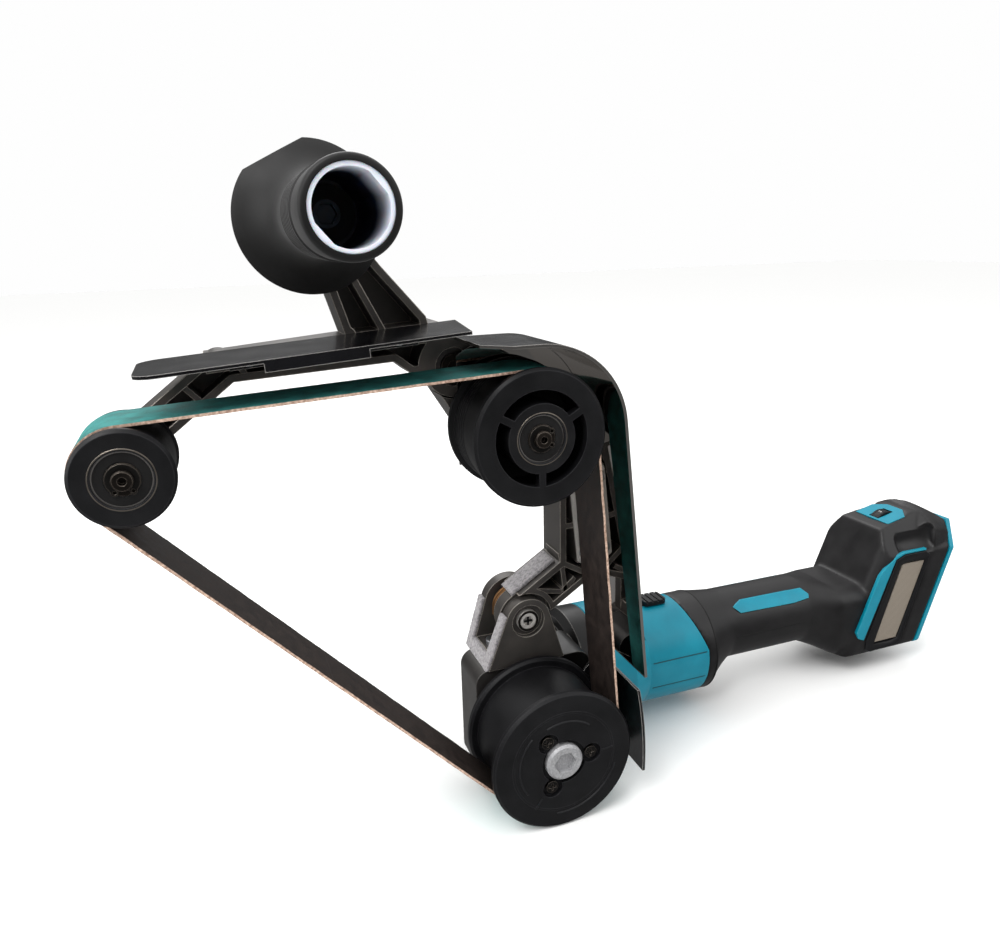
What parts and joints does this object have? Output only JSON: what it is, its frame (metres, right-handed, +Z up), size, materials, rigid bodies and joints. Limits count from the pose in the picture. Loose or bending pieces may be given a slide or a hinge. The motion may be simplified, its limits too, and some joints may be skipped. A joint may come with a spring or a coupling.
{
  "type": "pipe belt sander",
  "caption": "Battery pipe belt sander: an abrasive belt runs round pulleys on sprung folding arms beside a grinder style head, with a long handle and a hollow side grip.",
  "frame": {"origin": "middle of the whole tool in plan, at its lowest point", "axes": "+X along the tool from the belt towards the battery foot, +Y along the spindle away from the belt side, +Z up"},
  "size_m": [0.5238, 0.1748, 0.334],
  "materials": {
    "cast_dark": "dark grey die casting",
    "head_casting": "gunmetal coated casting",
    "black_plastic": "matte moulded black",
    "gloss_black": "gloss black sheet",
    "teal_plastic": "satin teal moulding",
    "steel": "bright steel",
    "zinc": "zinc plated",
    "black_steel": "black oxide",
    "grip_rubber": "soft black rubber",
    "liner": "milky white plastic",
    "felt": "light grey felt",
    "belt": "abrasive cloth",
    "spring": "coppery spring wire",
    "laminations": "stacked sheet",
    "brass": "tinned brass",
    "board": "circuit board in resin",
    "mesh": "fine woven mesh"
  },
  "bodies": {
    "tool": {"gear_housing": "head_casting", "bearing_cover": "head_casting", "spindle_bearings": "steel", "yoke": "cast_dark", "yoke_pad": "felt", "yoke_bolt": "zinc", "lower_guard": "gloss_black", "head_screws": "zinc", "motor_housing": "teal_plastic", "housing_screws": "zinc", "stator": "laminations", "motor_bearings": "steel", "handle_left": "black_plastic", "handle_right": "black_plastic", "handle_screws": "black_steel", "handle_inlays": "teal_plastic", "base_rim": "teal_plastic", "filter_frames": "black_plastic", "filter_screens": "mesh", "dial_plate": "teal_plastic", "terminal_block": "black_plastic", "terminal_blades": "brass", "controller": "board", "switch_unit": "black_plastic", "abrasive_belt": "belt"},
    "drive_pulley": {"spindle": "steel", "bevel_gear": "steel", "drive_drum": "black_plastic", "drive_cap": "black_plastic", "drive_bolt": "steel", "cap_screws": "black_steel"},
    "rotor": {"motor_shaft": "steel", "rotor_core": "laminations", "cooling_fan": "black_plastic"},
    "switch": {"switch_knob": "black_plastic"},
    "dial": {"speed_dial": "black_plastic"},
    "main_arm": {"main_arm": "cast_dark", "arm_pad": "felt", "arm_plate": "steel", "arm_screws": "zinc", "upper_guard": "gloss_black", "upper_shaft": "steel", "upper_circlip": "black_steel", "yoke_spring": "spring", "elbow_bolt": "zinc"},
    "upper_wheel": {"upper_pulley": "black_plastic", "upper_bearings": "steel"},
    "front_arm": {"front_arm": "cast_dark", "belt_cover": "gloss_black", "cover_screws": "zinc", "front_shaft": "steel", "front_circlip": "black_steel", "elbow_spring": "spring", "grip_sleeve": "grip_rubber", "grip_liner": "liner", "grip_bolt": "zinc"},
    "front_wheel": {"front_pulley": "black_plastic", "front_bearings": "steel"}
  },
  "joints": [
    {"name": "drive_spin", "type": "hinge", "parent": "tool", "child": "drive_pulley", "pos_m": [-0.06281, -0.01345, 0.038], "axis": [0, 1, 0], "continuous": true},
    {"name": "rotor_spin", "type": "hinge", "parent": "tool", "child": "rotor", "pos_m": [-0.00281, 0.05105, 0.038], "axis": [1, 0, 0], "continuous": true},
    {"name": "switch_slide", "type": "slide", "parent": "tool", "child": "switch", "axis": [-1, 0, 0], "range_m": [0, 0.007]},
    {"name": "dial_turn", "type": "hinge", "parent": "tool", "child": "dial", "pos_m": [0.22043, 0.05105, 0.09347], "axis": [0, 1, 0], "range_deg": [-140, 140]},
    {"name": "main_arm_swing", "type": "hinge", "parent": "tool", "child": "main_arm", "pos_m": [-0.06381, 0.02255, 0.096], "axis": [0, -1, 0], "range_deg": [0, 10], "stiffness_Nm_per_rad": 12, "springref_deg": -20.05, "deforming": ["abrasive_belt"]},
    {"name": "upper_spin", "type": "hinge", "parent": "main_arm", "child": "upper_wheel", "pos_m": [-0.07301, -0.01345, 0.2062], "axis": [0, 1, 0], "continuous": true},
    {"name": "front_arm_swing", "type": "hinge", "parent": "main_arm", "child": "front_arm", "pos_m": [-0.09831, 0.02255, 0.234], "axis": [0, -1, 0], "range_deg": [0, 18], "stiffness_Nm_per_rad": 6, "springref_deg": -17.19, "deforming": ["abrasive_belt"]},
    {"name": "front_spin", "type": "hinge", "parent": "front_arm", "child": "front_wheel", "pos_m": [-0.24221, -0.01345, 0.2092], "axis": [0, 1, 0], "continuous": true}
  ],
  "couplings": [
    {"joint": "rotor_spin", "follows": "drive_spin", "ratio": 3},
    {"joint": "upper_spin", "follows": "drive_spin", "ratio": 1.1391},
    {"joint": "front_spin", "follows": "drive_spin", "ratio": 1.801}
  ]
}
